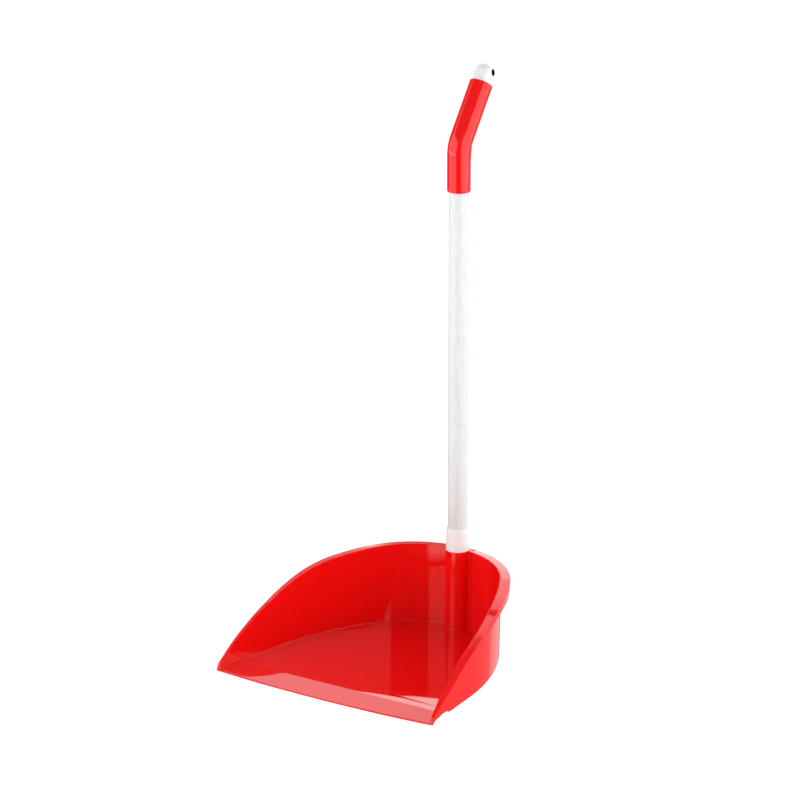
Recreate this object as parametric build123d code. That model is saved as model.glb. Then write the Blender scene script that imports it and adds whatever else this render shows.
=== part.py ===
from build123d import *
import math
import os

# Long-handled dustpan: a moulded scoop, an upright steel handle, a hand grip.
# Millimetres. X is across the scoop, -Y is the open front, +Z is up.
# The origin is the bottom centre of the whole object's bounding box.

# Handle
TUBE_OD = 24.6
TUBE_WALL = 0.6
FILM = 0.2                    # plastic film shrunk on the tube
BEND_Z = 629.0                # height of the bend's corner on the tube axis
BEND_DEG = 35.0
BEND_R = 34.0
UPPER_LEN = 84.0              # corner of the bend to the end of the grip
GRIP_WALL = 1.95
GRIP_GAP = 0.1                # grip's bore clear of the film, all round
GRIP_LOWER = 57.0             # bend's corner down to the grip's bottom
GRIP_EDGE_R = 1.0
FILM_IN_GRIP = 6.0

# Hanger cap
CAP_PROUD = 0.1               # cap's neck outside the tube, all round
CAP_NECK = 13.5               # straight part that shows above the grip
CAP_WALL = 2.4
CAP_SPIGOT = 22.0
SPIGOT_GAP = 0.05
TUBE_SETBACK = 1.0            # tube end below the end of the grip
HANG_HOLE_D = 8.5
HANG_HOLE_UP = 2.4            # hole axis beyond the dome's centre

# Scoop plan (the line where floor and wall meet), round the tube axis
REAR_R = 113.6
REAR_DEG = 58.6
SIDE_R = 340.8
SIDE_DEG = 82.46
FLOOR_T = 2.5
WALL_T = 2.2
DRAFT_DEG = 1.3
LIP_FRONT = 298.3             # front edge at the middle
LIP_BOW_R = 1900.0            # radius of the bowed front edge
LIP_LENGTH = 57.3             # front edge back to the front of the flat base
HUMP_BACK = 50.3              # hump's crest, back from the front edge
HUMP_FRONT = 37.3
LIP_EDGE_T = 1.2
LIP_FOOT = 3.0                # width of the front edge that touches the floor
HUMP_Z = 6.0
HUMP_T = 2.4

# Rim and flange at stations ahead of the tube axis: share of the run, share of the rim's
# height, flange width from the wall's foot, fall of its outer edge, turned-down depth
RIM_H = 106.1
RIM_SETBACK = 8.3             # front end of the rim, back from the front edge
RIM_STATIONS = (
    (0.0, 1.0, 15.5, 1.5, 0.0), (0.024, 0.998, 15.5, 1.5, 0.0), (0.092, 0.987, 15.7, 1.5, 0.0),
    (0.172, 0.971, 15.8, 1.6, 0.0), (0.2345, 0.953, 15.8, 1.6, 12.5), (0.29, 0.936, 15.5, 1.7, 11.2),
    (0.345, 0.919, 14.9, 1.8, 10.0), (0.448, 0.858, 13.3, 2.0, 8.1), (0.548, 0.766, 11.6, 2.3, 7.5),
    (0.648, 0.653, 10.8, 3.0, 7.5), (0.752, 0.528, 10.2, 4.5, 7.5), (0.803, 0.4505, 9.5, 4.5, 7.5),
    (0.855, 0.3676, 8.7, 4.5, 7.5), (0.907, 0.2733, 7.4, 3.9, 7.5), (0.952, 0.1744, 5.8, 2.4, 7.5),
    (0.972, 0.1131, 5.0, 1.4, 7.5), (0.990, 0.0518, 4.4, 0.6, 7.5), (1.0, 0.0113, 4.2, 0.4, 7.5),
)
FLANGE_T = 2.2
WALL_IN_FLANGE = 0.8          # wall's top below the flange's top
FLANGE_REACH = 4.0            # flange inside the wall's foot, before the inside is cut
SKIRT_T = 1.8                 # turned-down edge at the sides
SKIRT_INSET = 0.3             # its face behind the flange's edge
SKIRT_TOP = 1.0               # its top below the flange's top

# Socket column and collar
COLUMN_WALL = 1.2             # round the counterbore, at the top
COLUMN_TAPER = 1.4            # growth of the radius down to the floor
COLUMN_FILLET = 3.0
FLOOR_FILLET = 1.5
SOCKET_FLOOR_Z = 3.0
SOCKET_GAP = 0.1              # all round the tube and the locating ring
TUBE_FOOT_GAP = 0.1
REGISTER_WALL = 1.1           # collar's locating ring, in the counterbore
REGISTER_DEPTH = 6.0
REGISTER_FLOOR_GAP = 0.3
FILM_IN_COLLAR = 4.0
COLLAR_H = 30.2
COLLAR_WALL = 1.15            # round the film, at the top
COLLAR_TAPER = 1.1            # growth of the radius down to the column
COLLAR_EDGE_R = 0.8

# Derived
BEND = math.radians(BEND_DEG)
GRIP_BOTTOM_Z = BEND_Z - GRIP_LOWER
COLUMN_TOP_Z = RIM_H
FOOT_FRONT = LIP_FRONT - LIP_LENGTH
RIM_RUN = LIP_FRONT - RIM_SETBACK
TUBE_R = TUBE_OD / 2
FILM_R = TUBE_R + FILM
DOME_R = TUBE_R + CAP_PROUD
GRIP_BORE_R = FILM_R + GRIP_GAP
GRIP_R = GRIP_BORE_R + GRIP_WALL
SOCKET_R = TUBE_R + SOCKET_GAP
REGISTER_R = SOCKET_R + REGISTER_WALL
COLUMN_R_TOP = REGISTER_R + SOCKET_GAP + COLUMN_WALL
COLUMN_R_BOTTOM = COLUMN_R_TOP + COLUMN_TAPER
COLLAR_R_TOP = FILM_R + SOCKET_GAP + COLLAR_WALL
COLLAR_R_BOTTOM = COLLAR_R_TOP + COLLAR_TAPER
DOME_Y = (UPPER_LEN + CAP_NECK) * math.sin(BEND)
DOME_Z = BEND_Z + (UPPER_LEN + CAP_NECK) * math.cos(BEND)
AXIS_Y = (LIP_FRONT - DOME_Y - DOME_R) / 2   # tube axis behind the origin
CLEAR = 3 * LIP_FRONT         # larger than any part of the scoop
RIM_CLEAR_Z = RIM_H + 25


def place(shape):
    """Move from tube-axis coordinates to the row frame."""
    return Pos(0, AXIS_Y, 0) * shape


def at_angle(centre, radius, angle):
    """Point on an arc; the angle is counted from +Y."""
    return (centre[0] + radius * math.sin(angle), centre[1] + radius * math.cos(angle))


def plan_points(offset):
    """Right half of the scoop's plan, moved outwards by offset."""
    t1 = math.radians(REAR_DEG)
    t2 = math.radians(SIDE_DEG)
    c1 = (0.0, -REAR_R)
    c2 = at_angle(c1, REAR_R - SIDE_R, t1)
    rear = (0.0, offset)
    shoulder = at_angle(c1, REAR_R + offset, t1)
    side_mid = at_angle(c2, SIDE_R + offset, (t1 + t2) / 2)
    side = at_angle(c2, SIDE_R + offset, t2)
    run = (side[1] + LIP_FRONT + 30) / math.sin(t2)
    front = (side[0] + run * math.cos(t2), side[1] - run * math.sin(t2))
    return rear, shoulder, side_mid, side, front


def mirror_x(point):
    return (-point[0], point[1])


def plan_face(offset):
    """Closed face inside the scoop's plan, open line at the front."""
    rear, shoulder, side_mid, side, front = plan_points(offset)
    edges = [
        ThreePointArc(mirror_x(shoulder), rear, shoulder),
        ThreePointArc(shoulder, side_mid, side),
        Line(side, front),
        Line(front, mirror_x(front)),
        Line(mirror_x(front), mirror_x(side)),
        ThreePointArc(mirror_x(side), mirror_x(side_mid), mirror_x(shoulder)),
    ]
    return make_face(Wire(edges))


def station(ahead, offset):
    """Point at a distance ahead of the tube axis on the right half, moved outwards by offset."""
    t1 = math.radians(REAR_DEG)
    t2 = math.radians(SIDE_DEG)
    c1 = (0.0, -REAR_R)
    c2 = at_angle(c1, REAR_R - SIDE_R, t1)
    side = at_angle(c2, SIDE_R, t2)
    if ahead <= REAR_R * (1 - math.cos(t1)):
        return at_angle(c1, REAR_R + offset, math.acos(1 - ahead / REAR_R))
    if ahead <= -side[1]:
        return at_angle(c2, SIDE_R + offset, math.acos((-ahead - c2[1]) / SIDE_R))
    x, y = at_angle(c2, SIDE_R + offset, t2)
    run = (ahead + side[1]) / math.sin(t2)
    return (x + run * math.cos(t2), y - run * math.sin(t2))


def wall_offset(z):
    """How far the wall's inside stands out from its foot at a height."""
    return z * math.tan(math.radians(DRAFT_DEG))


def flange_slope(row):
    """Fall of the flange's top for each millimetre outwards."""
    _, height, width, fall, _ = row
    return fall / (width - wall_offset(height * RIM_H))


def wall_top():
    """Top of the wall in (Y, Z), just inside the flange."""
    points = []
    for row in RIM_STATIONS:
        drop = WALL_T * flange_slope(row) + WALL_IN_FLANGE
        points.append((-row[0] * RIM_RUN, row[1] * RIM_H - drop))
    return points


def across(edges):
    """Prism across the whole scoop from a closed outline in (Y, Z)."""
    face = Plane.YZ * make_face(Wire(edges))
    return extrude(face, amount=CLEAR / 2, both=True)


def outline(points):
    """Closed run of straight edges."""
    return [Line(a, b) for a, b in zip(points, points[1:] + points[:1])]


def below_rim():
    """Everything below the top of the wall."""
    top = wall_top()
    back = (CLEAR / 2, top[0][1])
    path = [top[-1], (-CLEAR, top[-1][1]), (-CLEAR, -10), (CLEAR / 2, -10), back, top[0]]
    edges = [Line(a, b) for a, b in zip(path, path[1:])]
    return across([Spline(*top)] + edges)


def section(ahead, corners, side):
    """Upright four-cornered outline across the rim; corners are (offset, Z)."""
    points = []
    for offset, z in corners:
        x, y = station(ahead, offset)
        points.append((side * x, y, z))
    return Wire.make_polygon(points, close=True)


def flange_corners(row):
    """Corners of the flange: over the wall's inside, then out to its edge."""
    _, height, width, fall, _ = row
    top = height * RIM_H
    inner = top + flange_slope(row) * (wall_offset(top) + FLANGE_REACH)
    outer = top - fall
    reach = -FLANGE_REACH
    return [(reach, inner), (width, outer), (width, outer - FLANGE_T), (reach, inner - FLANGE_T)]


def skirt_corners(row):
    """Corners of the turned-down edge below the flange's outer edge."""
    _, height, width, fall, depth = row
    edge = height * RIM_H - fall
    outer = width - SKIRT_INSET
    top = edge - SKIRT_TOP
    return [(outer - SKIRT_T, top), (outer, top), (outer, edge - depth), (outer - SKIRT_T, edge - depth)]


def flange():
    """Flange carried round the rim from one front tip to the other."""
    right = [section(row[0] * RIM_RUN, flange_corners(row), 1) for row in RIM_STATIONS]
    left = [section(row[0] * RIM_RUN, flange_corners(row), -1) for row in RIM_STATIONS[1:]]
    return Solid.make_loft(left[::-1] + right)


def skirt(side):
    """Turned-down edge along one side of the rim."""
    rows = [row for row in RIM_STATIONS if row[4] > 0]
    return Solid.make_loft([section(row[0] * RIM_RUN, skirt_corners(row), side) for row in rows])


def inside():
    """Space inside the scoop, open at the front and the top."""
    return extrude(plan_face(0), amount=RIM_CLEAR_Z, taper=-DRAFT_DEG)


def front_edge():
    """Everything behind the bowed front edge."""
    centre = LIP_BOW_R - LIP_FRONT
    return Pos(0, centre, RIM_CLEAR_Z / 2) * Cylinder(LIP_BOW_R, RIM_CLEAR_Z)


def floor_and_lip():
    """Flat floor, then a hump that ramps down to the thin front edge."""
    top = [
        (CLEAR / 2, FLOOR_T), (-FOOT_FRONT, FLOOR_T), (HUMP_BACK - LIP_FRONT, HUMP_Z),
        (HUMP_FRONT - LIP_FRONT, HUMP_Z), (-LIP_FRONT, LIP_EDGE_T),
    ]
    low = [(-LIP_FRONT, 0), (CLEAR / 2, 0)]
    slab = across(outline(top + low))
    return slab & extrude(plan_face(0.5), amount=RIM_CLEAR_Z)


def under_hump():
    """Hollow under the hump, between the foot and the front edge."""
    roof = HUMP_Z - HUMP_T
    front = LIP_FOOT - LIP_FRONT
    back = HUMP_BACK - LIP_FRONT + 1
    points = [
        (-FOOT_FRONT, -10), (-FOOT_FRONT, 0), (back, roof),
        (HUMP_FRONT - LIP_FRONT + 1, roof), (front, 0), (front, -10),
    ]
    return across(outline(points))


def column(high):
    """Tapered socket column that stands on the floor at the rear wall."""
    stand = (Align.CENTER, Align.CENTER, Align.MIN)
    radius = COLUMN_R_BOTTOM - COLUMN_TAPER * high / COLUMN_TOP_Z
    return Rot(0, 0, 90) * Cone(COLUMN_R_BOTTOM, radius, high, align=stand)


def column_corners(body):
    """Upright corners where the column meets the wall, inside and outside."""
    tall = [e for e in body.edges() if e.length > 0.8 * COLUMN_TOP_Z]
    near = [e for e in tall if abs((e @ 0.5).X) < COLUMN_R_BOTTOM + 1]
    return [e for e in near if abs((e @ 0.5).Y) < COLUMN_R_BOTTOM / 2]


def floor_corners(body):
    """Corner all round the floor, at the foot of the wall and the column."""
    rear = [e for e in body.edges() if (e @ 0.5).Y > 1 - FOOT_FRONT]
    heights = [(e, e.bounding_box()) for e in rear]
    return [e for e, box in heights if abs(box.min.Z - FLOOR_T) + abs(box.max.Z - FLOOR_T) < 0.01]


def disc(radius, low, high):
    """Upright cylinder between two heights on the tube axis."""
    return Pos(0, 0, (low + high) / 2) * Cylinder(radius, high - low)


def outside():
    """Solid block up to the rim, with the column's back, the flange and its turned-down edges."""
    tall = extrude(plan_face(WALL_T), amount=RIM_CLEAR_Z, taper=-DRAFT_DEG)
    body = (tall & below_rim()) + column(COLUMN_TOP_Z)
    body = fillet(column_corners(body), COLUMN_FILLET)
    body = body + flange() + skirt(1) + skirt(-1)
    return body & Pos(0, 0, RIM_H / 2) * Box(2 * CLEAR, 2 * CLEAR, RIM_H)


def cavity():
    """Space inside the scoop above the floor, round the front of the column."""
    body = inside() - column(RIM_CLEAR_Z) - floor_and_lip()
    body = fillet(column_corners(body), COLUMN_FILLET)
    return fillet(floor_corners(body), FLOOR_FILLET)


def make_scoop():
    body = outside() + floor_and_lip()
    body -= cavity()
    body &= front_edge()
    body -= under_hump()
    body -= disc(SOCKET_R, SOCKET_FLOOR_Z, RIM_CLEAR_Z)
    body -= disc(REGISTER_R + SOCKET_GAP, COLUMN_TOP_Z - REGISTER_DEPTH - REGISTER_FLOOR_GAP, RIM_CLEAR_Z)
    return body


def handle_path(low_z, upper):
    """Centre line: up the tube, round the bend, up the sloped grip."""
    trim = BEND_R * math.tan(BEND / 2)
    start = (0, 0, low_z)
    into = (0, 0, BEND_Z - trim)
    out = (0, trim * math.sin(BEND), BEND_Z + trim * math.cos(BEND))
    middle_y = BEND_R * (1 - math.cos(BEND / 2))
    middle_z = BEND_Z - trim + BEND_R * math.sin(BEND / 2)
    end = (0, upper * math.sin(BEND), BEND_Z + upper * math.cos(BEND))
    return Wire([Line(start, into), ThreePointArc(into, (0, middle_y, middle_z), out), Line(out, end)])


def bent_pipe(outer_r, inner_r, low_z, upper):
    """Bent pipe along the handle's centre line."""
    path = handle_path(low_z, upper)
    foot = Plane((0, 0, low_z))
    solid = sweep(foot * Circle(outer_r), path=path)
    return solid - sweep(foot * Circle(inner_r), path=path)


def make_tube():
    return bent_pipe(TUBE_R, TUBE_R - TUBE_WALL, SOCKET_FLOOR_Z + TUBE_FOOT_GAP, UPPER_LEN - TUBE_SETBACK)


def make_film():
    low = COLUMN_TOP_Z + COLLAR_H - FILM_IN_COLLAR
    high = GRIP_BOTTOM_Z + FILM_IN_GRIP
    return disc(FILM_R, low, high) - disc(TUBE_R, low - 1, high + 1)


def make_grip():
    body = bent_pipe(GRIP_R, GRIP_BORE_R, GRIP_BOTTOM_Z, UPPER_LEN)
    circles = body.edges().filter_by(GeomType.CIRCLE)
    ends = [e for e in circles if e.is_closed and abs(e.radius - GRIP_R) < 0.01]
    ends = [e for e in ends if (e @ 0).Z < GRIP_BOTTOM_Z + 1 or (e @ 0).Z > BEND_Z + 20]
    return fillet(ends, GRIP_EDGE_R)


def make_collar():
    low = COLUMN_TOP_Z
    stand = (Align.CENTER, Align.CENTER, Align.MIN)
    cone = Cone(COLLAR_R_BOTTOM, COLLAR_R_TOP, COLLAR_H, align=stand)
    body = Pos(0, 0, low) * cone
    top = body.edges().sort_by(Axis.Z)[-1]
    bottom = body.edges().sort_by(Axis.Z)[0]
    body = fillet([top, bottom], COLLAR_EDGE_R)
    body += disc(REGISTER_R, low - REGISTER_DEPTH, low + 1)
    body -= disc(SOCKET_R, low - REGISTER_DEPTH - 1, low + COLLAR_H + 1)
    body -= disc(FILM_R + SOCKET_GAP, low + COLLAR_H - FILM_IN_COLLAR - SOCKET_GAP, low + COLLAR_H + 1)
    return body


def tilted(up):
    """Plane square to the sloped grip, at a distance from the bend's corner."""
    origin = (0, up * math.sin(BEND), BEND_Z + up * math.cos(BEND))
    return Plane(origin, x_dir=(1, 0, 0), z_dir=(0, math.sin(BEND), math.cos(BEND)))


def make_cap():
    seat = UPPER_LEN - TUBE_SETBACK
    dome = UPPER_LEN + CAP_NECK
    core_r = DOME_R - CAP_WALL
    spigot_r = TUBE_R - TUBE_WALL - SPIGOT_GAP
    body = extrude(tilted(seat) * Circle(DOME_R), amount=dome - seat)
    body += tilted(dome).location * Sphere(DOME_R)
    body = body & extrude(tilted(seat) * Circle(DOME_R + 1), amount=dome - seat + DOME_R + 1)
    body += extrude(tilted(seat - CAP_SPIGOT) * Circle(spigot_r), amount=CAP_SPIGOT + 1)
    core = extrude(tilted(seat - CAP_SPIGOT - 1) * Circle(core_r), amount=dome - seat + CAP_SPIGOT + 1)
    core += tilted(dome).location * Sphere(core_r)
    body -= core
    hole = tilted(dome + HANG_HOLE_UP)
    drill = Pos(hole.origin) * Rot(0, 90, 0) * Cylinder(HANG_HOLE_D / 2, 3 * DOME_R)
    return body - drill


def save(name, shape):
    export_step(place(shape), "parts/" + name + ".step")


os.makedirs("parts", exist_ok=True)
save("scoop", make_scoop())
save("handle_tube", make_tube())
save("handle_film", make_film())
save("collar", make_collar())
save("grip", make_grip())
save("hanger_cap", make_cap())
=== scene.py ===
import math
from types import SimpleNamespace

import bpy
import numpy as np
from bpy.props import FloatProperty, FloatVectorProperty, PointerProperty
from mathutils import Matrix, Vector


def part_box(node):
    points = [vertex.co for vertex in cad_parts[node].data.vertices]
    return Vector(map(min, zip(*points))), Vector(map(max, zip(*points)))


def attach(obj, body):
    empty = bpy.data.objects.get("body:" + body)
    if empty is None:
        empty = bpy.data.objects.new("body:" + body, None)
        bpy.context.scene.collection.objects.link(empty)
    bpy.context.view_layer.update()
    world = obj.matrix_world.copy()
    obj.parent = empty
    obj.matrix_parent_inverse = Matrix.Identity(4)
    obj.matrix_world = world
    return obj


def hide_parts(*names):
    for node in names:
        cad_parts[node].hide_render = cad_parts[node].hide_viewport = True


bl_info = {
    "name": "Long-handled dustpan",
    "version": (1, 0, 0),
    "blender": (4, 5, 0),
    "location": "View3D > Sidebar > Dustpan",
    "description": "Builds the finished surfaces, materials and studio of a long-handled dustpan",
    "category": "Object",
}

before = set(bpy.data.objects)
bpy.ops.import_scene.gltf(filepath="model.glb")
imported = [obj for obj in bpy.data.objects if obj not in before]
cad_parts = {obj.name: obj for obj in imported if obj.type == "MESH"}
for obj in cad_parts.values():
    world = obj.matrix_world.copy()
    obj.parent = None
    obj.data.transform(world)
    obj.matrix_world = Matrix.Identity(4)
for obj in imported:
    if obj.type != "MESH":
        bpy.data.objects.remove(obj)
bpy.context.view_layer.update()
MM = 0.001

# Places and radii read from the frame, in millimetres. Heights count from the floor, and the other
# measures from the upright tube's axis, which stands at AXIS_Y behind the frame's origin.
COLLAR_LOW, COLLAR_HIGH = (np.array(corner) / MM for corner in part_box("collar"))
SCOOP_LOW, SCOOP_HIGH = (np.array(corner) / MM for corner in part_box("scoop"))
GRIP_LOW, GRIP_HIGH = (np.array(corner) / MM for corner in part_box("grip"))
FILM_LOW, FILM_HIGH = (np.array(corner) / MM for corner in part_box("handle_film"))
CAP_LOW, CAP_HIGH = (np.array(corner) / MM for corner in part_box("hanger_cap"))
COLLAR_R = (COLLAR_HIGH[0] - COLLAR_LOW[0]) / 2
GRIP_R = (GRIP_HIGH[0] - GRIP_LOW[0]) / 2
FILM_R = (FILM_HIGH[0] - FILM_LOW[0]) / 2
CAP_R = (CAP_HIGH[0] - CAP_LOW[0]) / 2
AXIS_Y = (COLLAR_LOW[1] + COLLAR_HIGH[1]) / 2
RIM_H = SCOOP_HIGH[2]
LIP_FRONT = AXIS_Y - SCOOP_LOW[1]

# Handle: the bend in the tube, and the cap beyond it along the bent part
BEND = math.radians(35)
BEND_R = 34.0
BEND_Z = 629.0              # height of the bend's corner
GRIP_END = 84.0             # corner to the grip's end
GRIP_WALL = 1.95
CAP_CENTRE = 97.5           # corner to the centre of the cap's dome
CAP_FOOT = 14.4             # dome's centre down to the cap's lower edge, in the grip
CAP_WALL = 2.4
CAP_FLOOR = 13.0            # dome's centre down to the hollow's floor
HOLE_UP = 2.4               # hanging hole above the dome's centre

# Plan of the wall's foot: a rear arc, a side arc on each side, a straight front part
REAR_R = 113.6
REAR_TURN = math.radians(58.6)
SIDE_R = 340.8
SIDE_TURN = math.radians(82.46)
DRAFT = math.tan(math.radians(1.3))
RIM_RUN = LIP_FRONT - 8.3

# Points along half of the rim behind the side arc: rear arc, corner at the column, column
REAR_STEPS, CORNER_STEPS, COLUMN_STEPS = 34, 8, 18
COLUMN_START = REAR_STEPS + CORNER_STEPS

# Rim stations: share of the run, share of the height, flange width, fall of its edge, depth of its edge
RIM = np.array((
    (0.0, 1.0, 15.5, 1.5, 2.2), (0.024, 0.998, 15.5, 1.5, 2.2), (0.092, 0.987, 15.7, 1.5, 2.2),
    (0.172, 0.971, 15.8, 1.6, 2.2), (0.2345, 0.953, 15.8, 1.6, 12.5), (0.29, 0.936, 15.5, 1.7, 11.2),
    (0.345, 0.919, 14.9, 1.8, 10.0), (0.448, 0.858, 13.3, 2.0, 8.1), (0.548, 0.766, 11.6, 2.3, 7.5),
    (0.648, 0.653, 10.8, 3.0, 7.5), (0.752, 0.528, 10.2, 4.5, 7.5), (0.803, 0.4505, 9.5, 4.5, 7.5),
    (0.855, 0.3676, 8.7, 4.5, 7.5), (0.907, 0.2733, 7.4, 3.9, 7.5), (0.952, 0.1744, 5.8, 2.4, 7.5),
    (0.972, 0.128, 5.0, 1.4, 7.5), (0.990, 0.080, 4.4, 0.6, 7.5), (1.0, 0.018, 4.2, 0.4, 7.5),
))
SKIRT_ROW = 4               # the first station whose edge is turned down
SKIRT_SHARE = RIM[SKIRT_ROW, 0]

# Lip profile: distance ahead of the tube axis, from distances back from the front edge, and height
FLOOR_T = 2.5
LIP_TOP = np.array([
    (LIP_FRONT - back, z) for back, z in ((57.3, FLOOR_T), (50.3, 6.0), (37.3, 6.0), (0.0, 1.2))])
LIP_UNDER = np.array([
    (LIP_FRONT - back, z) for back, z in ((57.3, 0.0), (51.3, 3.6), (38.3, 3.6), (3.0, 0.0))])
LIP_ROUNDS = (3.0, 1.6, 2.5)
LIP_BOW_R = 1900.0


# ---------------------------------------------------------------- settings

class DustpanSizes(bpy.types.PropertyGroup):
    """Sizes of the small shapes that finish the mouldings"""
    wall: FloatProperty(
        name="Wall", description="Thickness of the scoop's wall",
        default=0.0022, min=0.001, subtype="DISTANCE", unit="LENGTH")
    flange: FloatProperty(
        name="Flange", description="Thickness of the rim flange",
        default=0.0022, min=0.001, subtype="DISTANCE", unit="LENGTH")
    rim_round: FloatProperty(
        name="Rim rounding", description="Radius between the wall and the flange",
        default=0.001, min=0.0002, subtype="DISTANCE", unit="LENGTH")
    edge_round: FloatProperty(
        name="Edge rounding", description="Radius of the flange's outer edge",
        default=0.0008, min=0.0001, subtype="DISTANCE", unit="LENGTH")
    floor_round: FloatProperty(
        name="Floor rounding", description="Radius between the floor and the wall",
        default=0.0012, min=0.0002, subtype="DISTANCE", unit="LENGTH")
    foot_round: FloatProperty(
        name="Foot rounding", description="Radius of the outer wall's foot",
        default=0.001, min=0.0001, subtype="DISTANCE", unit="LENGTH")
    column_foot: FloatProperty(
        name="Column foot", description="Radius of the column at the floor",
        default=0.0162, min=0.013, subtype="DISTANCE", unit="LENGTH")
    column_top: FloatProperty(
        name="Column top", description="Radius of the column at the rim",
        default=0.0148, min=0.013, subtype="DISTANCE", unit="LENGTH")
    column_round: FloatProperty(
        name="Column rounding", description="Radius where the column meets the wall",
        default=0.0015, min=0.0005, subtype="DISTANCE", unit="LENGTH")
    hole: FloatProperty(
        name="Hanging hole", description="Diameter of the hole through the cap",
        default=0.0085, min=0.002, subtype="DISTANCE", unit="LENGTH")


class DustpanColours(bpy.types.PropertyGroup):
    """Colours of the finishes"""
    scoop: FloatVectorProperty(
        name="Scoop", description="Red of the scoop",
        default=(0.95, 0.005, 0.005), min=0, max=1, subtype="COLOR")
    grip: FloatVectorProperty(
        name="Grip", description="Red of the hand grip",
        default=(0.95, 0.005, 0.006), min=0, max=1, subtype="COLOR")
    collar: FloatVectorProperty(
        name="Collar", description="White of the collar",
        default=(0.90, 0.96, 0.96), min=0, max=1, subtype="COLOR")
    cap: FloatVectorProperty(
        name="Cap", description="White of the hanger cap",
        default=(0.91, 0.92, 0.92), min=0, max=1, subtype="COLOR")
    # Painted shade: near-black colour for the inside of the white cap, in place of the shade in its recess
    hollow: FloatVectorProperty(
        name="Cap hollow", description="Dark inside of the hanger cap",
        default=(0.01, 0.01, 0.01), min=0, max=1, subtype="COLOR")
    film: FloatVectorProperty(
        name="Film", description="Film shrunk on the tube",
        default=(0.745, 0.775, 0.775), min=0, max=1, subtype="COLOR")
    steel: FloatVectorProperty(
        name="Steel", description="Tube under the film",
        default=(0.62, 0.62, 0.63), min=0, max=1, subtype="COLOR")
    floor: FloatVectorProperty(
        name="Studio floor", description="Plain pale floor",
        default=(0.35, 0.35, 0.35), min=0, max=1, subtype="COLOR")


def setting_names(group):
    return [name for name in group.bl_rna.properties.keys() if name not in ("rna_type", "name")]


def sizes_in_mm(context):
    """The size settings as plain numbers in millimetres."""
    sizes = context.scene.dustpan_sizes
    return SimpleNamespace(**{name: getattr(sizes, name) / MM for name in setting_names(sizes)})


# ---------------------------------------------------------------- lines and grids

def smooth_table(x, xs, ys):
    """Monotone cubic through a table: Hermite pieces whose end slopes are the harmonic mean of the chords
    beside them, or level where the chords change sign."""
    chord = np.diff(ys) / np.diff(xs)
    product = chord[:-1] * chord[1:]
    total = np.where(product > 0, chord[:-1] + chord[1:], 1.0)
    slope = np.concatenate(([0.0], np.where(product > 0, 2 * product / total, 0.0), [chord[-1]]))
    i = np.clip(np.searchsorted(xs, x) - 1, 0, len(xs) - 2)
    width = xs[i + 1] - xs[i]
    t = np.clip((x - xs[i]) / width, 0, 1)
    return ((2 * t**3 - 3 * t**2 + 1) * ys[i] + (t**3 - 2 * t**2 + t) * width * slope[i]
            + (3 * t**2 - 2 * t**3) * ys[i + 1] + (t**3 - t**2) * width * slope[i + 1])


def quarter(count):
    """Angles of a quarter turn."""
    return np.linspace(0, 0.5 * math.pi, count)


def rounded(points, radii, steps=6):
    """Open line through points with an arc of each radius at each inner corner: the arc touches both legs
    at radius divided by the tangent of half the angle between them."""
    points = [np.array(point, float) for point in points]
    line = [points[0]]
    for before, corner, after, radius in zip(points, points[1:], points[2:], radii):
        a = (before - corner) / np.linalg.norm(before - corner)
        b = (after - corner) / np.linalg.norm(after - corner)
        half = math.acos(np.clip(a @ b, -1, 1)) / 2
        reach = radius / math.tan(half)
        centre = corner + (a + b) / np.linalg.norm(a + b) * radius / math.sin(half)
        start, end = corner + a * reach - centre, corner + b * reach - centre
        span = math.acos(np.clip(start @ end / radius**2, -1, 1))
        t = np.linspace(0, 1, steps + 1)[:, None]
        arc = (np.sin((1 - t) * span) * start + np.sin(t * span) * end) / math.sin(span)
        line.extend(centre + arc)
    line.append(points[-1])
    return np.array(line)


def fill_span(line, at, count):
    """The line with even points put into the span before point number at."""
    span = np.linspace(0, 1, count + 2)[1:-1, None]
    return np.vstack([line[:at], line[at - 1] + (line[at] - line[at - 1]) * span, line[at:]])


def grid_faces(rows, columns, wrap_rows=False, wrap_columns=False):
    """Quads of a grid whose points run row by row; a wrapped side joins its last line to its first."""
    r = np.arange(rows if wrap_rows else rows - 1)
    c = np.arange(columns if wrap_columns else columns - 1)
    r, c = np.meshgrid(r, c, indexing="ij")
    r2, c2 = (r + 1) % rows, (c + 1) % columns
    quads = np.stack([r * columns + c, r * columns + c2, r2 * columns + c2, r2 * columns + c], axis=-1)
    return quads.reshape(-1, 4)


def whole_turn(count):
    """Even angles of a whole turn, without the last, which is the first again."""
    return np.linspace(0, 2 * math.pi, count, endpoint=False)


def add_piece(name, parts):
    """Mesh object from (grid of points, faces) parts, in millimetres round the tube axis. Doubles are merged
    and normals made to point out."""
    counts = np.cumsum([0] + [len(points.reshape(-1, 3)) for points, _ in parts])
    points = np.vstack([points.reshape(-1, 3) for points, _ in parts])
    faces = np.vstack([faces + base for (_, faces), base in zip(parts, counts)])
    placed = (points + np.array((0.0, AXIS_Y, 0.0))) * MM
    mesh = bpy.data.meshes.new(name)
    mesh.from_pydata(placed.tolist(), [], faces.tolist())
    mesh.validate()
    mesh.update()
    piece = bpy.data.objects.new(name, mesh)
    bpy.context.scene.collection.objects.link(piece)
    bpy.ops.object.select_all(action="DESELECT")
    bpy.context.view_layer.objects.active = piece
    piece.select_set(True)
    bpy.ops.object.mode_set(mode="EDIT")
    bpy.ops.mesh.select_all(action="SELECT")
    bpy.ops.mesh.remove_doubles(threshold=2e-6)
    bpy.ops.mesh.dissolve_degenerate(threshold=1e-6)
    bpy.ops.mesh.normals_make_consistent(inside=False)
    bpy.ops.object.mode_set(mode="OBJECT")
    mesh.polygons.foreach_set("use_smooth", np.full(len(mesh.polygons), True))
    return piece


def finish_piece(piece, node, material):
    """Ties a finished piece to the frame in place of its CAD node."""
    piece.data.materials.append(material)
    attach(piece, "root")
    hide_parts(node)


# ---------------------------------------------------------------- scoop

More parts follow.
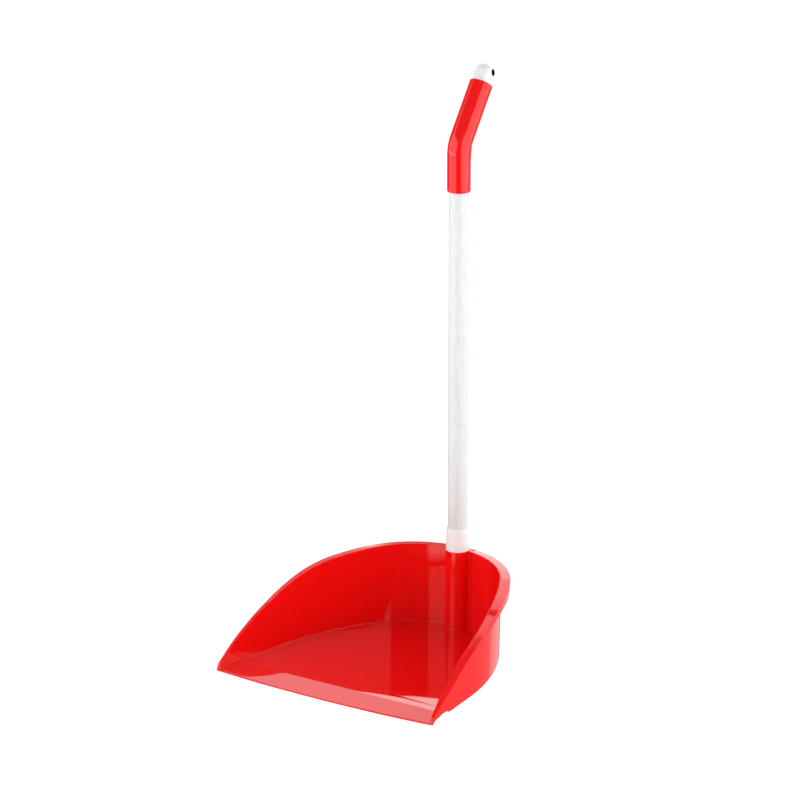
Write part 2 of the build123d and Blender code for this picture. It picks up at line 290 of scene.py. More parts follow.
def rim_at(ahead):
    """Height, flange width, fall and edge depth of the rim at distances ahead of the tube axis."""
    share = np.clip(ahead / RIM_RUN, 0, 1)
    height, width, fall = (smooth_table(share, RIM[:, 0], RIM[:, column]) for column in (1, 2, 3))
    depth = np.interp(share, RIM[SKIRT_ROW:, 0], RIM[SKIRT_ROW:, 4])
    depth = np.where(share < SKIRT_SHARE - 1e-4, RIM[0, 4], depth)
    return height * RIM_H, width, fall, depth


def side_arc():
    """Centre of the right side arc, its forward end and the outward direction there."""
    shoulder = np.array((math.sin(REAR_TURN), math.cos(REAR_TURN)))
    centre = np.array((0.0, -REAR_R)) + shoulder * (REAR_R - SIDE_R)
    outward = np.array((math.sin(SIDE_TURN), math.cos(SIDE_TURN)))
    return centre, centre + outward * SIDE_R, outward


def front_line(offset, ahead):
    """Straight part and side arc of the right half at distances ahead of the tube axis, moved outwards by
    offset: a point's angle on the arc is the one whose cosine gives its distance ahead."""
    centre, end, outward = side_arc()
    run = (ahead + end[1]) / outward[0]
    angle = np.arccos(np.clip((-ahead - centre[1]) / SIDE_R, -1, 1))
    straight = ahead > -end[1]
    x = np.where(straight, end[0] + offset * outward[0] + run * outward[1],
                 centre[0] + (SIDE_R + offset) * np.sin(angle))
    y = np.where(straight, end[1] + offset * outward[1] - run * outward[0],
                 centre[1] + (SIDE_R + offset) * np.cos(angle))
    return x, y


def column_corner(offset, radius, rounding, inside):
    """Centre and touching angles of the arc between the offset rear wall and the column. Its centre is at
    the wall's radius less or plus the rounding from the rear centre, and at the column's radius plus it
    from the axis."""
    wall = REAR_R + offset + (-rounding if inside else rounding)
    reach = radius + rounding
    y = (wall**2 - reach**2 - REAR_R**2) / (2 * REAR_R)
    x = np.sqrt(reach**2 - y**2)
    return x, y, np.arctan2(x, y + REAR_R), np.arctan2(x, y)


def plan_line(offset, radius, rounding, inside, ahead):
    """Right half of the plan from the front tip to the middle of the column, moved outwards by offset: the
    straight part and side arc at the given distances ahead, then the rear arc, the corner arc and the column,
    each at even shares of its turn."""
    x_front, y_front = front_line(offset[:len(ahead)], ahead)
    offset, radius = offset[len(ahead):], radius[len(ahead):]
    x_centre, y_centre, wall_angle, column_angle = column_corner(offset, radius, rounding, inside)

    part = slice(0, REAR_STEPS)
    t = np.linspace(0, 1, REAR_STEPS + 1)[1:]
    turn = REAR_TURN + (wall_angle[part] - REAR_TURN) * t
    x_rear = (REAR_R + offset[part]) * np.sin(turn)
    y_rear = (REAR_R + offset[part]) * np.cos(turn) - REAR_R

    part = slice(REAR_STEPS, COLUMN_START)
    t = np.linspace(0, 1, CORNER_STEPS + 1)[1:]
    sign = 1.0 if inside else -1.0
    start = np.arctan2(sign * np.sin(wall_angle[part]), sign * np.cos(wall_angle[part]))
    stop = np.arctan2(-np.sin(column_angle[part]), -np.cos(column_angle[part]))
    sweep = (stop - start + np.pi) % (2 * np.pi) - np.pi
    x_corner = x_centre[part] + rounding * np.sin(start + sweep * t)
    y_corner = y_centre[part] + rounding * np.cos(start + sweep * t)

    part = slice(COLUMN_START, None)
    t = np.linspace(0, 1, COLUMN_STEPS + 1)[1:]
    middle = np.pi if inside else 0.0
    turn = column_angle[part] + (middle - column_angle[part]) * t
    x_column, y_column = radius[part] * np.sin(turn), radius[part] * np.cos(turn)
    return (np.concatenate([x_front, x_rear, x_corner, x_column]),
            np.concatenate([y_front, y_rear, y_corner, y_column]))


def outer_line(offset, ahead):
    """Right half of the flange's outer edge: as the plan line, but straight on along the rear arc to its
    middle."""
    x_front, y_front = front_line(offset[:len(ahead)], ahead)
    offset = offset[len(ahead):]
    corner = math.asin(18.0 / REAR_R)
    turn = np.concatenate([
        np.linspace(REAR_TURN, corner, REAR_STEPS + 1)[1:],
        np.linspace(corner, corner * 0.8, CORNER_STEPS + 1)[1:],
        np.linspace(corner * 0.8, 0, COLUMN_STEPS + 1)[1:],
    ])
    x_rear = (REAR_R + offset) * np.sin(turn)
    y_rear = (REAR_R + offset) * np.cos(turn) - REAR_R
    return np.concatenate([x_front, x_rear]), np.concatenate([y_front, y_rear])


class Shell:
    """The wall, rim and flange as one closed band: a profile of rows carried along the plan from tip to tip.
    A row's place is its outward offset and height at each point of the plan."""

    def __init__(self, sizes):
        self.sizes = sizes
        self.rows = []
        step = SKIRT_SHARE * RIM_RUN
        self.ahead = np.concatenate([
            np.linspace(RIM_RUN, 272, 14)[:-1], np.linspace(272, step + 1.2, 60)[:-1],
            [step + 0.5, step + 0.1, step - 0.1, step - 0.5],
            np.linspace(step - 1.2, REAR_R * (1 - math.cos(REAR_TURN)), 8),
        ])
        near = len(self.ahead)
        foot = np.zeros(near + COLUMN_START + COLUMN_STEPS)
        _, y = plan_line(foot, foot + sizes.column_top, sizes.column_round, True, self.ahead)
        y = np.minimum(y, 0)
        y[:near] = -self.ahead
        self.height, self.width, self.fall, self.depth = rim_at(-y)
        # 1 along the wall, nearly 0 on the column, whose top is flat and sharp
        self.bare = np.ones(len(y))
        self.bare[near + REAR_STEPS:near + COLUMN_START] = np.linspace(1, 0.02, CORNER_STEPS)
        self.bare[near + COLUMN_START:] = 0.02
        self.height[near + REAR_STEPS:] = RIM_H
        self.width[near + REAR_STEPS:] = RIM[0, 2]
        self.fall[near + REAR_STEPS:] = RIM[0, 3]
        self.floor = np.minimum(np.interp(-y, LIP_TOP[:, 0], LIP_TOP[:, 1]), self.height - 0.1)
        self.under = np.interp(-y, LIP_UNDER[:, 0], LIP_UNDER[:, 1])

    def column_radius(self, z):
        return self.sizes.column_foot + (self.sizes.column_top - self.sizes.column_foot) * z / RIM_H

    def add(self, x, y, z):
        self.rows.append(np.stack([x, y, z], axis=-1))

    def along_wall(self, offset, z, inside, radius=None):
        """Row on the wall and round the column."""
        radius = self.column_radius(z) if radius is None else radius
        self.add(*plan_line(offset, radius, self.sizes.column_round, inside, self.ahead), z)

    def along_edge(self, offset, z):
        """Row on the flange's outer edge."""
        self.add(*outer_line(offset, self.ahead), z)

    def across(self, start, end, share, z):
        """Row at a share of the way between two rows."""
        x, y, _ = (start + (end - start) * share).T
        self.add(x, y, z)

    def inside(self):
        """Quarter turn between the floor and the wall, drafted wall, quarter turn to the flange."""
        room = 0.45 * np.maximum(self.height - self.floor, 0.05)
        foot = np.minimum(self.sizes.floor_round, room)
        for turn in quarter(7):
            z = self.floor + foot * (1 - math.cos(turn))
            inset = foot * (1 - math.sin(turn))
            self.along_wall(z * DRAFT - inset, z, True, self.column_radius(z) + inset)
        rounding = np.minimum(self.sizes.rim_round * self.bare, room)
        top = self.height - rounding
        for t in (0.004, *np.linspace(0.03, 0.97, 24), 0.996):
            z = self.floor + foot + (top - self.floor - foot) * t
            self.along_wall(z * DRAFT, z, True)
        for turn in quarter(9):
            z = top + rounding * math.sin(turn)
            self.along_wall(top * DRAFT + rounding * (1 - math.cos(turn)), z, True, self.column_radius(top))

    def flange_top(self):
        """Straight across to the outer line, falling by the edge's fall."""
        self.edge_round = np.minimum(self.sizes.edge_round, 0.4 * np.maximum(self.height - self.fall, 0.1))
        self.edge_z = np.maximum(self.height - self.fall, 0.9)
        self.out = np.maximum(self.width - self.edge_round, 0.1)
        start = self.rows[-1]
        end = np.stack([*outer_line(self.out, self.ahead), self.edge_z], axis=-1)
        power = 1 + 14 * (1 - self.bare)
        for t in (0.03, 0.2, 0.4, 0.6, 0.8, 0.97, 1.0):
            self.across(start, end, t, start[:, 2] + (self.edge_z - start[:, 2]) * t**power)

    def turned_edge(self):
        """Rounded edge, its upright face, a small step in to the turned-down side, and its rounded bottom."""
        for turn in np.linspace(0.15, 0.5, 5) * math.pi:
            drop = self.edge_round * (1 - math.cos(turn))
            self.along_edge(self.out + self.edge_round * math.sin(turn), self.edge_z - drop)
        low = np.maximum(self.edge_z - self.depth, 0.0)
        top = self.edge_z - self.edge_round
        bottom = np.minimum(0.6, 0.3 * (top - low))
        face = np.minimum(self.sizes.flange, 0.4 * (self.edge_z - low))
        ledge = self.edge_z - face
        turned_down = self.depth > RIM[0, 4] + 0.1
        inset = np.where(turned_down, np.minimum(1.0, 0.2 * face), 0.0)
        side = (
            (0.0, top - 0.1 * face), (0.0, ledge + 0.12), (0.12, ledge), (0.88, ledge - 0.02),
            (1.0, ledge - 0.14), (1.0, (ledge + low + bottom) / 2), (1.0, low + bottom + 0.02),
        )
        for share, z in side:
            self.along_edge(self.width - inset * share, np.maximum(z, low + bottom))
        for turn in quarter(4):
            out = self.width - inset - bottom * (1 - math.cos(turn))
            self.along_edge(out, low + bottom * (1 - math.sin(turn)))
        self.ceiling = np.maximum(self.edge_z - self.sizes.flange, 0.0)
        inner = self.width - inset - np.where(turned_down, 2.0, 1.2)
        for z in (low, low + 0.02 + (self.ceiling - low) * 0.1, low + (self.ceiling - low) * 0.95):
            self.along_edge(inner, z)

    def outside(self):
        """Underside of the flange, drafted outer wall, quarter turn at its foot."""
        wall = self.sizes.wall
        slope = self.fall / np.maximum(self.width - self.height * DRAFT, 1)
        top = self.height - self.sizes.flange - slope * wall * self.bare
        top = np.maximum(top, self.under + 0.2)
        start = self.rows[-1]
        rounding = self.sizes.column_round
        line = plan_line(wall + top * DRAFT, self.column_radius(top), rounding, False, self.ahead)
        end = np.stack([*line, top], axis=-1)
        for t in (0.05, 0.35, 0.65, 0.95, 1.0):
            self.across(start, end, t, self.ceiling + (top - self.ceiling) * t)
        foot = np.minimum(self.sizes.foot_round, 0.4 * (top - self.under))
        for t in (0.01, *np.linspace(0.04, 0.98, 20)):
            z = top + (self.under + foot - top) * t
            self.along_wall(wall + z * DRAFT, z, False)
        for turn in quarter(5):
            z = self.under + foot * (1 - math.sin(turn))
            inset = foot * (1 - math.cos(turn))
            self.along_wall(wall + z * DRAFT - inset, z, False, self.column_radius(z) - inset)

    def band(self):
        """Both halves, with each tip closed to its own middle point."""
        self.inside()
        self.flange_top()
        self.turned_edge()
        self.outside()
        right = np.stack(self.rows)
        left = right[:, ::-1][:, 1:] * np.array((-1.0, 1.0, 1.0))
        band = np.concatenate([right, left], axis=1)
        tips = [np.repeat(band[:, end].mean(axis=0)[None, None], len(band), axis=0) for end in (0, -1)]
        band = np.concatenate([tips[0], band, tips[1]], axis=1)
        return band, grid_faces(band.shape[0], band.shape[1], wrap_rows=True)


def half_width(ahead, offset):
    """Half width of the plan at distances ahead of the tube axis, moved outwards by offset: a side of the
    right triangle whose longest side is the arc's radius, or the straight part's own line."""
    centre, end, outward = side_arc()
    y = -ahead
    straight = end[0] + offset / outward[0] + (end[1] - y) * outward[1] / outward[0]
    side = centre[0] + np.sqrt(np.maximum((SIDE_R + offset)**2 - (y - centre[1])**2, 0))
    rear = np.sqrt(np.maximum((REAR_R + offset)**2 - (y + REAR_R)**2, 0))
    width = np.where(y < end[1], straight, side)
    return np.where(y > REAR_R * (math.cos(REAR_TURN) - 1), rear, width)


def floor_plate():
    """The floor plate and lip as one closed body, whose edge lies in the middle of the wall: rows run from
    the rear over the top to the bowed front edge and back underneath, and columns run across. Height depends only
    on the distance ahead, and the front rows bend back by the sagitta of the bow."""
    offset = 1.1
    line = rounded([(200.0, FLOOR_T), *LIP_TOP], LIP_ROUNDS)
    ahead = np.concatenate([
        -offset + (60 + offset) * np.linspace(0, 1, 26)**2, np.linspace(60, 236, 24)[1:], line[1:-1, 0],
        np.linspace(line[-2, 0], LIP_FRONT, 14)[1:-1], [LIP_FRONT - 0.7, LIP_FRONT],
    ])
    share = np.sin(np.linspace(-0.5, 0.5, 65) * math.pi * 0.96) / math.sin(0.48 * math.pi)
    x = half_width(ahead, offset)[:, None] * share[None, :]
    bow_start = LIP_FRONT - 34.3
    weight = np.clip((ahead - bow_start) / (LIP_FRONT - bow_start), 0, 1)[:, None]
    y = ahead[:, None] - (LIP_BOW_R - np.sqrt(LIP_BOW_R**2 - x**2)) * weight
    top = np.interp(y, line[:, 0], line[:, 1])
    low = np.interp(y, LIP_UNDER[:, 0], LIP_UNDER[:, 1])
    # the last row rounds the front edge, and the outermost columns meet inside the wall
    last = ahead[:, None] > LIP_FRONT - 0.1
    thick = top - low
    top = np.where(last, top - 0.35 * thick, top)
    low = np.where(last, low + 0.25 * thick, low)
    middle = (top + low) / 2
    outermost = np.abs(share) > 0.9999
    over = np.stack([x, -y, np.where(outermost, middle, top)], axis=-1)
    below = np.stack([x, -y, np.where(outermost, middle, low)], axis=-1)[::-1]
    loop = np.concatenate([over, below])
    return loop, grid_faces(loop.shape[0], loop.shape[1], wrap_rows=True)


class DUSTPAN_OT_scoop(bpy.types.Operator):
    """Build the moulded scoop"""
    bl_idname = "dustpan.scoop"
    bl_label = "Scoop"

    def execute(self, context):
        piece = add_piece("scoop_moulding", [Shell(sizes_in_mm(context)).band(), floor_plate()])
        red = red_plastic("scoop_red", context.scene.dustpan_colours.scoop)
        finish_piece(piece, "scoop", red)
        return {"FINISHED"}


# ---------------------------------------------------------------- handle

class DUSTPAN_OT_tube(bpy.types.Operator):
    """Finish the steel tube, which keeps its own mesh"""
    bl_idname = "dustpan.tube"
    bl_label = "Handle tube"

    def execute(self, context):
        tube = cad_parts["handle_tube"]
        tube.data.materials.clear()
        tube.data.materials.append(drawn_steel("tube_steel", context.scene.dustpan_colours.steel))
        return {"FINISHED"}


class DUSTPAN_OT_film(bpy.types.Operator):
    """Build the shrunk film: a thin sleeve whose radius ripples in lengthwise waves that drift round it"""
    bl_idname = "dustpan.film"
    bl_label = "Handle film"

    def execute(self, context):
        around, rows = 128, 220
        turn, z = np.meshgrid(whole_turn(around), np.linspace(FILM_LOW[2], FILM_HIGH[2], rows))
        drift = 0.5 * np.sin(z * 0.021) + 0.3 * np.sin(z * 0.057 + 1.3)
        wave = np.sin(9 * turn + 4 * drift) * np.sin(z * 0.011 + 2 * turn)
        wave = wave + 0.6 * np.sin(17 * turn - 5 * drift + 0.7)
        radius = FILM_R - 0.03 + 0.018 * wave
        radius[[0, -1]] = FILM_R - 0.15
        outer = np.stack([radius * np.sin(turn), radius * np.cos(turn), z], axis=-1)
        shrink = (FILM_R - 0.2) / FILM_R
        inner = outer[[-1, 0]] * np.array((shrink, shrink, 1.0))
        sheet = np.concatenate([outer, inner])
        faces = grid_faces(len(sheet), around, wrap_rows=True, wrap_columns=True)
        piece = add_piece("film_sleeve", [(sheet, faces)])
        film = film_plastic("film_clear_painted_crease_shade", context.scene.dustpan_colours.film)
        finish_piece(piece, "handle_film", film)
        return {"FINISHED"}


class DUSTPAN_OT_collar(bpy.types.Operator):
    """Build the tapered collar on the column: a closed (radius, height) line turned about the tube axis"""
    bl_idname = "dustpan.collar"
    bl_label = "Collar"

    def execute(self, context):
        low, high = RIM_H, COLLAR_HIGH[2]
        top_r, ring_r = COLLAR_R - 1.1, 13.4
        bore = FILM_R + 0.1
        corners = [
            (bore, high - 6), (bore, high), (top_r, high), (COLLAR_R, low), (ring_r, low), (ring_r, low + 3)]
        line = rounded(corners, (0.35, 0.8, 0.6, 0.3), 6)
        line = fill_span(line, 1 + 2 * 7, 10)
        turn = whole_turn(96)
        r, z = line[:, 0:1], line[:, 1:2]
        points = np.stack(np.broadcast_arrays(r * np.sin(turn), r * np.cos(turn), z), axis=-1)
        faces = grid_faces(len(line), 96, wrap_rows=True, wrap_columns=True)
        piece = add_piece("collar_moulding", [(points, faces)])
        white = white_plastic("collar_white", context.scene.dustpan_colours.collar, 0.16)
        finish_piece(piece, "collar", white)
        return {"FINISHED"}


class DUSTPAN_OT_grip(bpy.types.Operator):
    """Build the sleeve grip: a (length, radius) line turned about the centre line, which goes straight up,
    round the bend and straight on"""
    bl_idname = "dustpan.grip"
    bl_label = "Hand grip"

    def execute(self, context):
        trim = BEND_R * math.tan(BEND / 2)
        lower = BEND_Z - trim - GRIP_LOW[2]
        arc = BEND_R * BEND
        length = lower + arc + GRIP_END - trim
        bore = GRIP_R - GRIP_WALL
        middle = (length / 2, bore)
        corners = [middle, (0, bore), (0, GRIP_R), (length, GRIP_R), (length, bore), middle]
        line = rounded(corners, (0.3, 1.0, 1.0, 0.3), 7)
        line = fill_span(line, 1 + 2 * 8, 88)[:-1]
        s, r = line[:, 0:1], line[:, 1:2]
        angle = np.clip((s - lower) / BEND_R, 0, BEND)
        past = np.maximum(s - lower - arc, 0)
        turn = whole_turn(96)
        x = r * np.sin(turn)
        y = BEND_R * (1 - np.cos(angle)) + past * math.sin(BEND) + r * np.cos(turn) * np.cos(angle)
        z = (GRIP_LOW[2] + np.minimum(s, lower) + BEND_R * np.sin(angle) + past * math.cos(BEND)
             - r * np.cos(turn) * np.sin(angle))
        points = np.stack([x, y, z], axis=-1)
        faces = grid_faces(len(line), 96, wrap_rows=True, wrap_columns=True)
        piece = add_piece("grip_sleeve", [(points, faces)])
        red = red_plastic("grip_red", context.scene.dustpan_colours.grip)
        finish_piece(piece, "grip", red)
        return {"FINISHED"}


def cap_side(radius, low, hole, rounding, sign):
    """Half of the cap on one side of its middle plane, in polar rows round the hanging hole. A point's
    distance from the plane is the root of the radius squared less its own squares, where the dome adds the
    height."""
    around, rows = 128, 44
    turn = whole_turn(around)
    dy, dz = np.sin(turn), np.cos(turn)
    # distance from the hole's middle to the silhouette: dome, straight side or bottom, whichever is first
    dome = -HOLE_UP * dz + np.sqrt(np.maximum((HOLE_UP * dz)**2 + radius**2 - HOLE_UP**2, 0))
    side = np.where(np.abs(dy) > 1e-9, radius / np.maximum(np.abs(dy), 1e-9), 1e9)
    bottom = np.where(dz < -1e-9, (low - HOLE_UP) / np.minimum(dz, -1e-9), 1e9)
    reach = np.where(HOLE_UP + dome * dz > 0, dome, np.minimum(side, bottom))
    start = hole / 2
    near = start + rounding * np.array([0, 0.12, 0.35, 0.65, 1.0])[:, None]
    share = np.sin(np.linspace(0, 1, rows)[1:, None] * math.pi / 2)
    rho = np.vstack([np.repeat(near, around, axis=1), start + rounding + (reach - start - rounding) * share])
    y = rho * dy
    z = HOLE_UP + rho * dz
    x = np.sqrt(np.maximum(radius**2 - y**2 - np.maximum(z, 0)**2, 0))
    inward = np.clip((start + rounding - rho) / rounding, 0, 1)
    x = x - rounding * (1 - np.sqrt(np.maximum(1 - inward**2, 0)))
    half = np.stack([sign * x, y, z], axis=-1)
    return np.concatenate([half, half[-1:] * np.array((0.0, 1.0, 1.0))])


class DUSTPAN_OT_cap(bpy.types.Operator):
    """Build the hollow domed cap with its hanging hole. The faces that lie nearer its axis and its dome's
    centre than the middle of the wall take a near-black material: painted shade for the inside of the white cap."""
    bl_idname = "dustpan.cap"
    bl_label = "Hanger cap"

    def execute(self, context):
        hole = sizes_in_mm(context).hole
        lean = np.array(Matrix.Rotation(-BEND, 3, "X"))
        centre = np.array((0.0, CAP_CENTRE * math.sin(BEND), BEND_Z + CAP_CENTRE * math.cos(BEND)))
        parts = []
        for sign in (1.0, -1.0):
            outer = cap_side(CAP_R - 0.01, -CAP_FOOT, hole, 0.5, sign)
            inner = cap_side(CAP_R - CAP_WALL, -CAP_FLOOR, hole, 0.01, sign)
            strip = np.concatenate([outer[::-1], inner])
            parts.append((strip @ lean.T + centre, grid_faces(*strip.shape[:2], wrap_columns=True)))
        piece = add_piece("cap_dome", parts)
        colours = context.scene.dustpan_colours
        finish_piece(piece, "hanger_cap", white_plastic("cap_white", colours.cap, 0.2))
        # Painted shade: the inner faces of the white cap get this near-black material in place of the shade
        # inside it
        hollow = Finish("cap_hollow_painted_shade", {"Roughness": 0.9, "Base Color": (*colours.hollow, 1)})
        piece.data.materials.append(hollow.material)
        middles = np.empty(len(piece.data.polygons) * 3)
        piece.data.polygons.foreach_get("center", middles)
        local = (middles.reshape(-1, 3) / MM - (0.0, AXIS_Y, 0.0) - centre) @ lean
        depth = np.sqrt((local[:, :2]**2).sum(axis=1) + np.maximum(local[:, 2], 0)**2)
        piece.data.polygons.foreach_set("material_index", (depth < CAP_R - CAP_WALL / 2).astype(int))
        piece.data.update()
        return {"FINISHED"}


# ---------------------------------------------------------------- materials

class Wire:
    """A shader socket with arithmetic: each operator adds a Math node."""

    def __init__(self, tree, socket):
        self.tree, self.socket = tree, socket

    def maths(self, operation, first, second):
        return self.tree.node("ShaderNodeMath", {"operation": operation}, {0: first, 1: second})

    def __add__(self, other):
        return self.maths("ADD", self, other)

    def __radd__(self, other):
        return self.maths("ADD", other, self)

    def __sub__(self, other):
        return self.maths("SUBTRACT", self, other)

    def __rsub__(self, other):
        return self.maths("SUBTRACT", other, self)

    def __mul__(self, other):
        return self.maths("MULTIPLY", self, other)

    def __rmul__(self, other):
        return self.maths("MULTIPLY", other, self)


class Tree:
    """A node tree, with one method that adds any node."""

    def __init__(self, node_tree):
        self.nodes, self.links = node_tree.nodes, node_tree.links

    def node(self, kind, settings, sockets, out=0):
        """Adds a node of a type, with its settings, which come first, and the value or link of each socket by
        its name or number. Gives back the wire of its output."""
        node = self.nodes.new(kind)
        for key, value in settings.items():
            setattr(node, key, value)
        for key, value in sockets.items():
            if isinstance(value, Wire):
                self.links.new(value.socket, node.inputs[key])
            else:
                node.inputs[key].default_value = value
        return Wire(self, node.outputs[out]) if node.outputs else None

    def smooth_step(self, value, low, high):
        """Share that rises smoothly from 0 at the low value to 1 at the high one."""
        smooth = {"interpolation_type": "SMOOTHSTEP"}
        return self.node("ShaderNodeMapRange", smooth, {0: value, 1: low, 2: high})


class Finish(Tree):
    """A material on one principled shader, whose constants are set on its own sockets."""

    def __init__(self, name, constants):
        self.material = bpy.data.materials.new(name)
        self.material.use_nodes = True
        super().__init__(self.material.node_tree)
        self.nodes.clear()
        shine = self.node("ShaderNodeBsdfPrincipled", {}, constants, out="BSDF")
        self.node("ShaderNodeOutputMaterial", {}, {"Surface": shine})
        self.inputs = shine.socket.node.inputs

    def feed(self, socket, wire):
        self.links.new(wire.socket, self.inputs[socket])

    def place(self, scale=(1.0, 1.0, 1.0)):
        """Object coordinates, stretched by a scale along each axis."""
        where = self.node("ShaderNodeTexCoord", {}, {}, out="Object")
        return self.node("ShaderNodeMapping", {}, {"Vector": where, "Scale": scale})

    def noise(self, where, scale, detail, roughness):
        return self.node("ShaderNodeTexNoise", {}, {
            "Vector": where, "Scale": scale, "Detail": detail, "Roughness": roughness})

    def blend(self, share, low, high):
        """Colour between two colours by a share."""
        ends = {6: (*low, 1), 7: (*high, 1)}
        return self.node("ShaderNodeMix", {"data_type": "RGBA"}, {0: share, **ends}, out=2)

    def bump(self, height, strength, distance):
        wire = self.node("ShaderNodeBump", {}, {"Strength": strength, "Distance": distance, "Height": height})
        self.feed("Normal", wire)


def red_plastic(name, colour):
    """Glossy injection-moulded plastic: very slight cloudiness in colour and gloss, faint sink waves."""
    finish = Finish(name, {"IOR": 1.49})
    where = finish.place()
    cloud = finish.noise(where, 18.0, 3.0, 0.5)
    finish.feed("Base Color", finish.blend(cloud, [c * 0.93 for c in colour], colour))
    fine = finish.noise(where, 420.0, 2.0, 0.5)
    finish.feed("Roughness", 0.02 + 0.02 * fine)
    waves = finish.noise(where, 9.0, 1.0, 0.4)
    finish.bump(waves + 0.002 * fine, 0.12, 0.0005)
    return finish.material


def white_plastic(name, colour, roughness):
    """Glossy white moulding with a faint grain."""
    finish = Finish(name, {"IOR": 1.49, "Base Color": (*colour, 1)})
    grain = finish.noise(finish.place(), 600.0, 2.0, 0.5)
    finish.feed("Roughness", (roughness - 0.02) + 0.05 * grain)
    finish.bump(grain, 0.2, 0.0001)
    return finish.material


def film_plastic(name, colour):
    """Clear film shrunk on a light tube: grey-white, with fine creases that run lengthwise. Its colour is darker
    in the crease troughs and paler on their ridges, which is painted shade and highlight along the creases, and
    the specks add random tone.
    """
    finish = Finish(name, {"IOR": 1.5})
    crease = finish.noise(finish.place((1.0, 1.0, 0.09)), 420.0, 4.0, 0.62)
    speck = finish.noise(finish.place((1.0, 1.0, 0.45)), 700.0, 2.0, 0.5)
    # Painted shade and highlight: the colour runs from darker in the crease troughs to paler on the ridges,
    # following the creases of the bump; the specks add random tone
    share = 0.65 * crease + 0.35 * speck
    dark, pale = [c * 0.72 for c in colour], [min(c * 1.28, 1) for c in colour]
    finish.feed("Base Color", finish.blend(share, dark, pale))
    finish.feed("Roughness", 0.22 + 0.2 * crease)
    finish.bump(crease + 0.3 * speck, 0.8, 0.0006)
    return finish.material


def drawn_steel(name, colour):
    """Drawn steel tube: fine lengthwise streaks in gloss and surface."""
    finish = Finish(name, {"Metallic": 1.0, "Base Color": (*colour, 1)})
    streak = finish.noise(finish.place((1.0, 1.0, 0.02)), 900.0, 3.0, 0.55)
    finish.feed("Roughness", 0.22 + 0.18 * streak)
    finish.bump(streak, 0.2, 0.0002)
    return finish.material


# ---------------------------------------------------------------- studio

SOFTBOX_DISTANCE = 2.6
FLOOR_HALF = 9.0
CAMERA_TURN, CAMERA_UP = math.radians(34.85), math.radians(18.36)
CAMERA_DISTANCE = 7.0948
CAMERA_TARGET = Vector((-0.1108, 0.1480, 0.2724))
CAMERA_LENS = 254.24


def add_softbox(name, turn, height, size, brightness):
    """Upright soft light at a turn from the front, facing the origin's upright at its own height. Its power
    is its brightness times pi times its area."""
    light = bpy.data.lights.new(name, "AREA")
    light.shape = "RECTANGLE"
    light.size, light.size_y = size
    light.energy = brightness * math.pi * size[0] * size[1]
    lamp = bpy.data.objects.new(name, light)
    angle = math.radians(turn)
    lamp.location = (SOFTBOX_DISTANCE * math.sin(angle), -SOFTBOX_DISTANCE * math.cos(angle), height)
    lamp.rotation_euler = (Vector((0, 0, height)) - lamp.location).to_track_quat("-Z", "Y").to_euler()
    lamp.visible_camera = False
    bpy.context.scene.collection.objects.link(lamp)


class Air(Tree):
    """Brightness of the room by direction, as shares from 0 to 1. A height is the upward part of the
    direction, which is the sine of its angle above the horizon."""

    def __init__(self, world):
        super().__init__(world.node_tree)
        self.way = self.node("ShaderNodeTexCoord", {}, {}, out="Generated")
        self.height = self.node("ShaderNodeSeparateXYZ", {}, {0: self.way}, out="Z")
        level = self.vector("MULTIPLY", self.way, (1.0, 1.0, 0.0), "Vector")
        self.level = self.vector("NORMALIZE", level, (0.0, 0.0, 0.0), "Vector")

    def vector(self, operation, first, second, out):
        return self.node("ShaderNodeVectorMath", {"operation": operation}, {0: first, 1: second}, out=out)

    def above(self, low, high):
        return self.smooth_step(self.height, low, high)

    def between(self, low, low_full, high_full, high):
        return self.above(low, low_full) * (1 - self.above(high_full, high))

    def wedge(self, turn, full, edge):
        """1 within an angle of a turn from the front, and 0 past a wider one, by the cosine between them."""
        angle = math.radians(turn)
        cosine = self.vector("DOT_PRODUCT", self.level, (math.sin(angle), -math.cos(angle), 0.0), "Value")
        return self.smooth_step(cosine, math.cos(math.radians(edge)), math.cos(math.radians(full)))


def paint_air(world):
    """Dim air, a bright wall behind the object in three bands of height, and below the horizon a bright
    table at the front left, dimmer ones at the right rear and behind, and near darkness between them.
    Straight into the camera it is white."""
    air = Air(world)
    behind = air.wedge(205.0, 44.0, 52.0)
    wall_low, wall_high = air.between(0.10, 0.14, 0.44, 0.50), air.between(0.44, 0.50, 0.76, 0.79)
    wall = 2.1 * air.wedge(180.0, 36.0, 40.5) * wall_low + 1.5 * behind * wall_high
    wall = wall + 1.8 * behind * air.between(0.83, 0.85, 0.93, 0.97)
    wall = wall + 0.3 * air.wedge(234.0, 16.0, 22.0) * wall_low
    table = 1.65 * air.wedge(-35.0, 38.0, 46.0) + 0.3 * air.wedge(140.0, 62.0, 66.0)
    table = table + 0.3 * air.wedge(196.0, 10.0, 13.0)
    level = air.above(-0.12, -0.09)
    strength = 0.2 * level + wall + (1 - level) * (table + 0.05)
    seen = air.node("ShaderNodeLightPath", {}, {}, out="Is Camera Ray")
    background = air.nodes["Background"].inputs
    background["Color"].default_value = (1, 1, 1, 1)
    air.links.new((strength * (1 - seen) + seen).socket, background["Strength"])


def add_floor(colour):
    """Plain pale floor that glows a little and isn't mirrored in the gloss."""
    h = FLOOR_HALF
    mesh = bpy.data.meshes.new("studio_floor")
    mesh.from_pydata([(-h, -h, 0), (h, -h, 0), (h, h, 0), (-h, h, 0)], [], [(0, 1, 2, 3)])
    mesh.materials.append(Finish("studio_pale", {
        "Roughness": 0.9, "Base Color": (*colour, 1),
        "Emission Color": (1, 1, 1, 1), "Emission Strength": 0.9,
    }).material)
    floor = bpy.data.objects.new("studio_floor", mesh)
    bpy.context.scene.collection.objects.link(floor)
    floor.visible_glossy = False


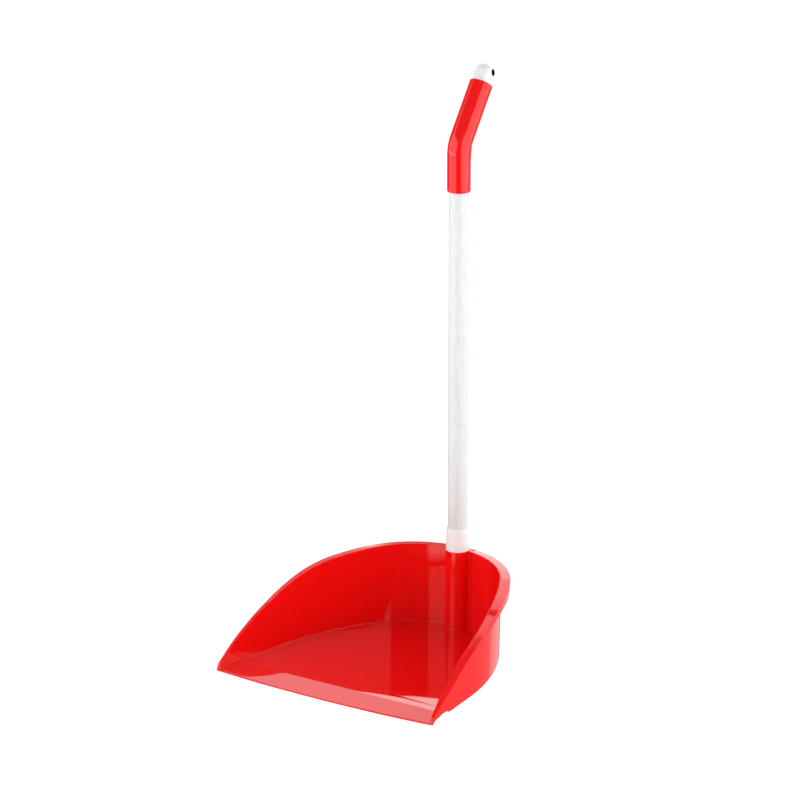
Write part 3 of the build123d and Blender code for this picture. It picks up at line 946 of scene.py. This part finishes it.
def add_camera(scene):
    """Camera at a turn and an angle up from its target, looking at it."""
    data = bpy.data.cameras.new("camera")
    data.lens = CAMERA_LENS
    data.sensor_width = 36.0
    data.clip_end = 60
    camera = bpy.data.objects.new("camera", data)
    level = math.cos(CAMERA_UP)
    direction = Vector((math.sin(CAMERA_TURN) * level, -math.cos(CAMERA_TURN) * level, math.sin(CAMERA_UP)))
    camera.location = CAMERA_TARGET + CAMERA_DISTANCE * direction
    camera.rotation_euler = (-direction).to_track_quat("-Z", "Y").to_euler()
    scene.collection.objects.link(camera)
    scene.camera = camera


class DUSTPAN_OT_studio(bpy.types.Operator):
    """Build the pale floor, the soft lights and the camera"""
    bl_idname = "dustpan.studio"
    bl_label = "Studio"

    def execute(self, context):
        scene = context.scene
        add_floor(scene.dustpan_colours.floor)
        world = bpy.data.worlds.new("studio_air")
        world.use_nodes = True
        paint_air(world)
        scene.world = world
        add_softbox("right_softbox", 98.0, 1.02, (5.0, 2.96), 1.85)
        add_softbox("left_softbox", -38.0, 1.25, (5.0, 2.5), 1.75)
        scene.view_settings.view_transform = "Standard"
        scene.view_settings.look = "None"
        add_camera(scene)
        return {"FINISHED"}


# ---------------------------------------------------------------- panel

OPERATORS = (
    DUSTPAN_OT_scoop, DUSTPAN_OT_tube, DUSTPAN_OT_film, DUSTPAN_OT_collar,
    DUSTPAN_OT_grip, DUSTPAN_OT_cap, DUSTPAN_OT_studio,
)


class DUSTPAN_PT_panel(bpy.types.Panel):
    """Sizes, colours and building steps of the dustpan"""
    bl_idname = "DUSTPAN_PT_panel"
    bl_label = "Dustpan"
    bl_space_type = "VIEW_3D"
    bl_region_type = "UI"
    bl_category = "Dustpan"

    def draw(self, context):
        for group in (context.scene.dustpan_sizes, context.scene.dustpan_colours):
            box = self.layout.box()
            for name in setting_names(group):
                box.prop(group, name)
        for operator in OPERATORS:
            self.layout.operator(operator.bl_idname)


CLASSES = (DustpanSizes, DustpanColours, *OPERATORS, DUSTPAN_PT_panel)


def register():
    for cls in CLASSES:
        bpy.utils.register_class(cls)
    bpy.types.Scene.dustpan_sizes = PointerProperty(type=DustpanSizes)
    bpy.types.Scene.dustpan_colours = PointerProperty(type=DustpanColours)


def unregister():
    del bpy.types.Scene.dustpan_colours
    del bpy.types.Scene.dustpan_sizes
    for cls in reversed(CLASSES):
        bpy.utils.unregister_class(cls)


def main():
    register()
    bpy.ops.dustpan.scoop()
    bpy.ops.dustpan.tube()
    bpy.ops.dustpan.film()
    bpy.ops.dustpan.collar()
    bpy.ops.dustpan.grip()
    bpy.ops.dustpan.cap()
    bpy.ops.dustpan.studio()


if __name__ == "__main__":
    main()
